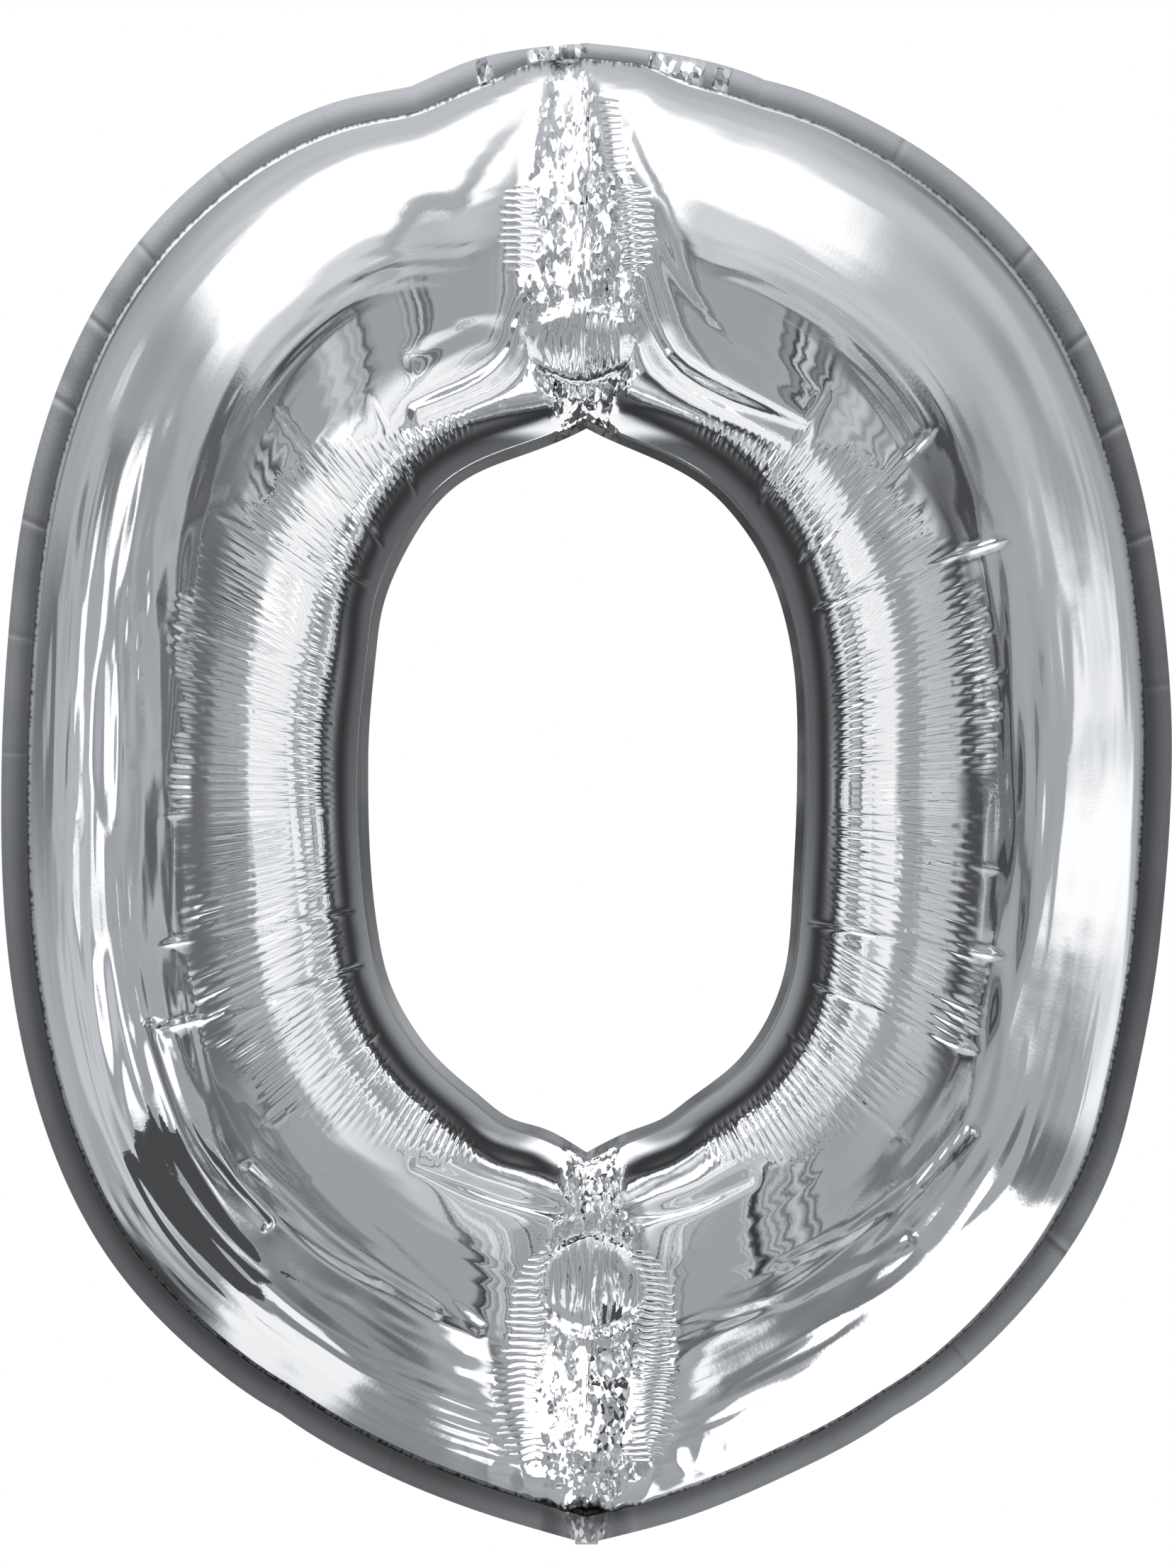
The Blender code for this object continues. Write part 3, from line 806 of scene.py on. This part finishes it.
# The light tent seen by the foil. Each patch is its corners as (angle round the balloon's front
# axis from the right towards the top, angle away from that axis), its grey and its softness. A box
# is a patch between two angles round the axis and two away from it.
TENT_GREY = 0.64
TENT_PATCHES = [
    # the ceiling and its big soft light
    (box(8, 52, 8, 126), 0.67, 10),
    ([(10, 4), (24, 4), (22, 38), (12, 38)], 0.57, 6),
    (box(36, 58, 20, 110), 0.73, 8),
    ([(56, 22), (75, 16), (120, 8), (143, 10), (152, 40), (142, 100), (125, 112), (70, 112),
      (58, 95)], 0.84, 13),
    ([(61, 44), (66, 34), (90, 33), (115, 24), (138, 28), (146, 36), (144, 50), (140, 62), (139, 84),
      (125, 94), (105, 100), (85, 100), (70, 84), (61, 78)], 1.10, 6),
    ([(60, 114), (135, 114), (120, 180), (70, 180)], 0.74, 8),
    ([(22, 138), (55, 136), (60, 180), (22, 180)], 0.42, 7),
    ([(141, 140), (180, 146), (180, 180), (141, 180)], 0.42, 4),
    # the left wall with its windows
    (box(146, 160, 50, 134), 0.64, 6),
    (box(150, 157, 97, 103), 0.80, 2),
    (box(161, 171, 67, 88), 0.51, 3),
    ([(161, 55), (182, 55), (182, 73), (171, 72), (171, 64), (161, 64)], 1.05, 2),
    (box(171, 181, 112, 144), 0.46, 4),
    ([(-180, 76), (-140, 88), (-136, 104), (-180, 104)], 0.74, 6),
    ([(-178, 56), (-166, 40), (-158, 42), (-156, 62), (-170, 68), (-178, 66)], 1.02, 2),
    ([(-180, 150), (-150, 146), (-150, 180), (-180, 180)], 0.45, 4),
    ([(-152, 14), (-132, 14), (-132, 30), (-152, 31)], 0.33, 3),
    ([(-151, 33), (-130, 33), (-130, 42), (-151, 39)], 0.98, 1.6),
    (box(-150, -140, 104, 114), 0.76, 3),
    (box(-150, -143, 120, 132), 0.40, 2.5),
    (box(-150, -141, 136, 150), 0.75, 2.5),
    ([(-141, 128), (-131, 128), (-131, 180), (-150, 180), (-150, 158)], 0.25, 3),
    # the floor
    (box(-130, -110, 26, 76), 0.52, 5),
    (box(-120, -110, 32, 50), 0.42, 4),
    (box(-120, -108, 80, 180), 0.55, 4),
    ([(-130, 79), (-120, 79), (-119, 176), (-128, 176)], 0.95, 1.5),
    (box(-110, -98, 72, 90), 1.04, 2),
    (box(-80, -70, 50, 112), 0.61, 3),
    ([(-90, 17), (-80, 17), (-78, 24), (-70, 28), (-70, 46), (-80, 46), (-84, 26), (-90, 24)],
     0.98, 2.5),
    ([(-80, 138), (-68, 134), (-68, 180), (-80, 180)], 1.0, 3),
    ([(-70, 20), (-50, 20), (-48, 44), (-60, 50), (-70, 62)], 0.47, 4),
    (box(-36, -32, 24, 34), 0.46, 3),
    # the big window on the lower right and the strip beside it
    ([(-70, 73), (-63, 66), (-60, 53), (-56, 49), (-42, 49), (-38, 55), (-32, 64), (-31, 143),
      (-38, 147), (-42, 180), (-70, 180)], 1.18, 1.2),
    (box(-38, -22, 149, 180), 0.40, 4),
    (box(-30, -20, 72, 112), 0.46, 3),
    ([(-20, 113), (-10, 110), (-10, 144), (-20, 144)], 0.95, 4),
    ([(-10, 48), (0, 48), (0, 134), (-10, 136)], 1.0, 3),
    ([(0, 52), (10, 62), (10, 110), (0, 126)], 0.92, 4),
    # the dark side of the room, round the camera
    (box(-35, 35, 8, 15), 0.28, 2.5),
    (box(-30, 25, 16, 22), 0.46, 2.5),
    (box(145, 215, 9, 21), 0.40, 3),
]
# The grey straight in front, at angles round the front axis
TENT_CENTRE = [(-180, 0.46), (-150, 0.40), (-120, 0.42), (-90, 0.52), (-60, 0.50), (-30, 0.44),
               (0, 0.42), (30, 0.54), (60, 0.68), (90, 0.72), (120, 0.72), (150, 0.56), (180, 0.46)]
# The pale card in front of the hole: its grey at parts of the way from its middle to the hole's edge
CARD_RIGHT = [(0, 0.94), (0.78, 0.94), (0.90, 0.64), (1.18, 0.62), (1.28, 0.76), (1.58, 0.72),
              (1.70, 0.30), (1.85, 0.28)]
CARD_LEFT = [(0, 0.94), (1.10, 0.96), (1.20, 0.68), (1.52, 0.62), (1.66, 0.42), (1.85, 0.38)]
CARD_ENDS = 0.62
CARD_Y = -0.14
# The light band inside the hole's top
BAND_DEPTHS, BAND_GREY = (-0.080, -0.008), 1.05
# The dark card across the hole, a painted shade that stands in for the shade between the hole's facing
# inner walls: its grey at parts of the way from its middle to its edge
HOLE_SHADE_GREYS = [(0, 0.62), (0.25, 0.42), (0.50, 0.24), (0.65, 0.20), (0.78, 0.28), (0.87, 0.36), (1, 0.40)]
# White cards in front of the pinches: left, right, bottom, top and y
PINCH_CARD_GREY = 1.12
PINCH_CARDS = [(-0.029, 0.013, 0.335, 0.428, -0.086), (-0.020, 0.014, 0.272, 0.335, -0.086),
               (-0.035, 0.040, 0.190, 0.225, -0.22), (-0.040, 0.045, -0.245, -0.195, -0.22),
               (-0.022, 0.022, -0.405, -0.312, -0.086), (-0.075, 0.005, -0.420, -0.330, -0.22)]
# The flag at the lower left: its middle, and its two half sides
LOW_FLAG_GREY = 0.28
LOW_FLAG_MIDDLE = (-0.444, -0.20, -0.413)
LOW_FLAG_SIDES = 0.127 * np.array((0.616, 0, -0.788)), 0.125 * np.array((-0.333, 0.906, -0.26))
# The grey flag over the left flank of the top pinch: (y, z, left end) along it, and its right end
FLANK_FLAG_RIGHT = -0.012
FLANK_FLAG = [(-0.05, 0.455, -0.055), (-0.12, 0.475, -0.060), (-0.22, 0.470, -0.075),
              (-0.33, 0.420, -0.090), (-0.35, 0.340, -0.105)]
TENT_RADIUS = 12.0
BACKDROP_RADIUS = 30.0
FLOOR_Z = -0.75
BACKDROP_BEND, BACKDROP_TOP, POLE_RADIUS = 8.0, 42.0, 0.0001
# The camera: the height of its view at the balloon, how far in front it stands, and its middle
VIEW_HEIGHT, CAMERA_DISTANCE = 0.8978, 4.5
CAMERA_X, CAMERA_Z = -0.0004, 0.0059


def patch_cover(around, away, corners, soft):
    """How much of each direction a patch covers: 1 inside, 0 outside, soft at its edge."""
    corners = np.array(corners, float)
    middle = corners[:, 0].mean()
    a = (around - middle + 180) % 360 - 180 + middle
    squeeze = np.clip(np.sin(np.radians(away)), 0.25, 1)
    inside = np.zeros(a.shape, bool)
    far = np.full(a.shape, 1e9)
    for (a0, p0), (a1, p1) in zip(corners, np.roll(corners, -1, axis=0)):
        crosses = (p0 > away) != (p1 > away)
        at = a0 + (away - p0) * (a1 - a0) / (p1 - p0 if p1 != p0 else 1e-9)
        inside ^= crosses & (a < at)
        du, dv = (a1 - a0) * squeeze, p1 - p0
        u, v = (a - a0) * squeeze, away - p0
        t = np.clip((u * du + v * dv) / (du**2 + dv**2 + 1e-9), 0, 1)
        far = np.minimum(far, np.hypot(u - t * du, v - t * dv))
    return step(-soft, soft, np.where(inside, far, -far))


def glowing(name, points, quads, shade, cover=1.0, one_sided=False):
    """A part of the studio that only reflections show: its grey at each point, as displayed, and
    how much it hides what is behind it. Greys are slightly blue, whites are neutral."""
    glow = ((np.clip(shade, 0.02, 2) + 0.055).reshape(-1, 1) / 1.055) ** 2.4
    colours = glow * (1 + (1 - step(0.5, 1.0, glow)) * np.array([-0.035, 0, 0.05]))
    alpha = np.broadcast_to(cover, shade.shape).reshape(-1, 1)
    obj = object_from(name, points.reshape(-1, 3), quads.reshape(-1, 4))
    layer = obj.data.color_attributes.new("glow", "FLOAT_COLOR", "POINT")
    layer.data.foreach_set("color", np.hstack([colours, alpha]).ravel())
    material, tree, shader = new_material(name + "_light")
    tree.nodes.remove(shader)
    lamp = node(tree, "ShaderNodeEmission", {"Strength": 1.06})
    clear = node(tree, "ShaderNodeBsdfTransparent")
    mix = node(tree, "ShaderNodeMixShader")
    glows = node(tree, "ShaderNodeVertexColor", layer_name="glow")
    tree.links.new(glows.outputs["Color"], lamp.inputs[0])
    hides = glows.outputs["Alpha"]
    if one_sided:
        away = math_node(tree, "SUBTRACT", 1.0, node(tree, "ShaderNodeNewGeometry").outputs["Backfacing"])
        hides = math_node(tree, "MULTIPLY", hides, away)
    tree.links.new(hides, mix.inputs[0])
    tree.links.new(clear.outputs[0], mix.inputs[1])
    tree.links.new(lamp.outputs[0], mix.inputs[2])
    tree.links.new(mix.outputs[0], tree.nodes["Material Output"].inputs["Surface"])
    material.cycles.emission_sampling = "NONE"
    obj.data.materials.append(material)
    obj.visible_camera = False
    obj.visible_diffuse = False
    obj.visible_shadow = False


def light_tent():
    """A tent of softboxes and grey flags all round the balloon, which only its reflections show."""
    around, away = np.meshgrid(np.arange(-180, 180.0, 0.8), np.arange(0.4, 180, 0.8), indexing="ij")
    shade = np.full(around.shape, TENT_GREY)
    for corners, grey, soft in TENT_PATCHES:
        cover = patch_cover(around, away, corners, soft)
        shade = shade * (1 - cover) + grey * cover
    a, p = np.radians(around), np.radians(away)
    centre = np.interp(around, *np.array(TENT_CENTRE).T)
    cover = 1 - step(6, 10, away)
    shade = shade * (1 - cover) + centre * cover
    shade += 0.035 * waves(around, away, 70, 45, 71) * (1 - step(0.85, 1.0, shade))
    points = TENT_RADIUS * np.stack([np.sin(p) * np.cos(a), -np.cos(p), np.sin(p) * np.sin(a)], -1)
    glowing("light_tent", points, ring_quads(*a.shape), shade)


def disc(ring, reach, y):
    """A disc with the hole's outline, larger or smaller by each reach: its points and quads."""
    reach = np.asarray(reach)[:, None]
    x, z = reach * ring[:, 0], reach * ring[:, 1]
    return np.stack([x, np.full(x.shape, y), z], axis=-1), tube_quads(*x.shape)


def hole_cards():
    """A dark card across the hole that puts painted shade on the hole's inner walls, with painted
    highlights at the middle of its top and bottom, a pale one in front of it with fine streaks, which the
    inner pleats reflect, and a light band inside the hole's top."""
    ring = whole_edge("hole", np.linspace(0, 1, 91))
    reach = np.linspace(0, 0.995, 17)
    # The dark card is lighter low down near its rim, so the lower inner walls take less painted shade.
    low = step(0.05, -0.19, ring[:, 1]) * step(0.58, 1.0, reach)[:, None]
    points, quads = disc(ring, reach, 0.0)
    # Its middle at the top and bottom is lit: a painted highlight on the crumpled film of the two pinches.
    ends = (1 - step(0.015, 0.035, np.abs(points[..., 0]))) * step(0.13, 0.17, np.abs(points[..., 2]))
    shade = np.interp(reach, *np.array(HOLE_SHADE_GREYS).T)[:, None] + 0.24 * low + 0.60 * ends
    glowing("hole_shade_card", points, quads, shade)

    ring = whole_edge("hole", np.linspace(0, 1, 701))
    reach = np.linspace(0, 1.85, 90)
    rightward = step(-0.3, 0.3, ring[:, 0] / HOLE_HALF_WIDTH)
    right_greys = np.interp(reach, *np.array(CARD_RIGHT).T)[:, None]
    left_greys = np.interp(reach, *np.array(CARD_LEFT).T)[:, None]
    shade = left_greys * (1 - rightward) + right_greys * rightward
    below = step(-0.12, -0.20, ring[:, 1])
    shade = shade * (1 - below) + np.minimum(shade, 0.74) * below
    ends = step(0.07, 0.16, np.abs(ring[:, 1])) * step(1.0, 1.2, reach)[:, None]
    shade = shade * (1 - ends) + CARD_ENDS * ends
    round_it = np.cumsum(np.linalg.norm(ring - np.roll(ring, 1, axis=0), axis=1))
    line = line_noise(round_it, 0.0020, 31) * step(-0.3, 0.3, line_noise(round_it, 0.022, 32))
    shade += np.where(line > 0, 0.16, 0.42) * line * (1 - step(1.50, 1.66, reach))[:, None]
    cover = (1 - step(1.72, 1.84, reach))[:, None] * (1 - ends * step(1.5, 1.6, reach)[:, None])
    points, quads = disc(ring, reach, CARD_Y)
    glowing("pleat_card", points, quads, shade, cover)

    arc = 0.93 * np.concatenate([edge("hole", LEFT, np.linspace(0.26, 0, 24)),
                                 edge("hole", RIGHT, np.linspace(0, 0.26, 24))])
    depth = np.linspace(*BAND_DEPTHS, 5)[:, None] * np.ones(len(arc))
    points = np.stack([arc[:, 0] + 0 * depth, depth, arc[:, 1] + 0 * depth], axis=-1)
    quads = sheet_quads(*depth.shape)
    glowing("hole_band", points, quads[..., ::-1], np.full(depth.shape, BAND_GREY), one_sided=True)


def flags_and_pinch_cards():
    """A dark flag at the lower left, a soft one over the left flank of the top pinch, and white
    cards in front of both pinches."""
    u, v = np.meshgrid(np.linspace(0, 1, 9), np.linspace(0, 1, 9), indexing="ij")
    sides = [(2 * w - 1)[..., None] * side for w, side in zip((u, v), LOW_FLAG_SIDES)]
    glowing("low_flag", np.array(LOW_FLAG_MIDDLE) + sides[0] + sides[1], sheet_quads(9, 9),
            np.full(u.shape, LOW_FLAG_GREY))

    y, z, left = np.array(FLANK_FLAG).T[..., None]
    over = np.linspace(0, 1, 17)
    x = left + (FLANK_FLAG_RIGHT - left) * over
    points = np.stack([x, y + 0 * over, z + 0 * over], axis=-1)
    cover = between(0.40, 0.65, 0.38, over) * step(0, 1.5, np.arange(y.size))[:, None]
    glowing("flank_flag", points, sheet_quads(y.size, over.size), 0.74 - 0.12 * over + 0 * y, cover)

    for number, (x0, x1, z0, z1, y) in enumerate(PINCH_CARDS):
        points = np.stack([x0 + (x1 - x0) * u, np.full(u.shape, y), z0 + (z1 - z0) * v], axis=-1)
        glowing(f"pinch_card_{number}", points, sheet_quads(9, 9), np.full(u.shape, PINCH_CARD_GREY),
                np.where(np.minimum.reduce([u, 1 - u, v, 1 - v]) > 0.05, 1.0, 0.0))


def backdrop():
    """A white bowl round the set: a flat floor that curves up into a wall and closes overhead."""
    bend = BACKDROP_BEND
    flat = BACKDROP_RADIUS - bend
    profile = [(POLE_RADIUS, FLOOR_Z), (flat, FLOOR_Z)]
    for turn in np.linspace(0, math.pi / 2, 17)[1:]:
        profile.append((flat + bend * math.sin(turn), FLOOR_Z + bend * (1 - math.cos(turn))))
    profile += [(BACKDROP_RADIUS, BACKDROP_RADIUS), (POLE_RADIUS, BACKDROP_TOP)]
    r, z = np.array(profile).T
    turn = np.linspace(0, 2 * math.pi, 65)[:-1]
    points = np.stack([np.outer(r, np.cos(turn)), np.outer(r, np.sin(turn)),
                       np.outer(z, np.ones(64))], -1)
    quads = tube_quads(*points.shape[:2])
    obj = object_from("backdrop", points.reshape(-1, 3), quads.reshape(-1, 4))
    material, tree, shader = new_material("backdrop_white")
    tree.nodes.remove(shader)
    lamp = node(tree, "ShaderNodeEmission", {"Strength": 1.0})
    tree.links.new(lamp.outputs[0], tree.nodes["Material Output"].inputs["Surface"])
    lamp.inputs["Color"].default_value = (1, 1, 1, 1)
    obj.data.materials.append(material)
    obj.visible_glossy = False


def camera():
    data = bpy.data.cameras.new("camera")
    obj = bpy.data.objects.new("camera", data)
    bpy.context.scene.collection.objects.link(obj)
    data.lens = data.sensor_width * CAMERA_DISTANCE / VIEW_HEIGHT
    data.clip_start, data.clip_end = 0.1, 200
    obj.location = (CAMERA_X, -CAMERA_DISTANCE, CAMERA_Z)
    obj.rotation_euler = (math.pi / 2, 0, 0)
    bpy.context.scene.camera = obj


def studio():
    world = bpy.data.worlds.new("studio")
    bpy.context.scene.world = world
    world.use_nodes = True
    shade = world.node_tree.nodes["Background"]
    shade.inputs["Color"].default_value = (0.38, 0.39, 0.40, 1)
    light_tent()
    hole_cards()
    flags_and_pinch_cards()
    backdrop()
    bpy.context.scene.view_settings.view_transform = "Standard"


# ---- assembly
def main():
    camera()
    front_film = build_panel(FRONT, *FRONT_GRID)
    back_film = build_panel(BACK, *BACK_GRID)
    films = {"front_foil": front_film, "back_foil": back_film}
    front_mesh = film_mesh(front_film, strip(FRONT_TONGUE, *TONGUE_STRIP, 3))
    back_mesh = film_mesh(back_film, strip(BACK_TONGUE, *TONGUE_STRIP, 3))
    front_ply, back_ply = strip(FRONT_PLY, *PLY_STRIP, 5), strip(BACK_PLY, *PLY_STRIP, 6)
    pieces = [
        ("front_foil", front_mesh, "front_panel", foil_material, "silver_film"),
        ("back_foil", back_mesh, "back_panel", foil_material, "silver_film"),
        ("valve_front", front_ply, "valve_front_ply", valve_material, "valve_film"),
        ("valve_back", back_ply, "valve_back_ply", valve_material, "valve_film"),
    ]
    for name, (points, quads), stands_for, material, slot in pieces:
        piece = object_from(name, points, quads)
        if name in films:
            mark_film(piece, films[name])
        piece.data.materials.append(material(name + "_film"))
        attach(piece, "root")
        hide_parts(stands_for)
    studio()


main()
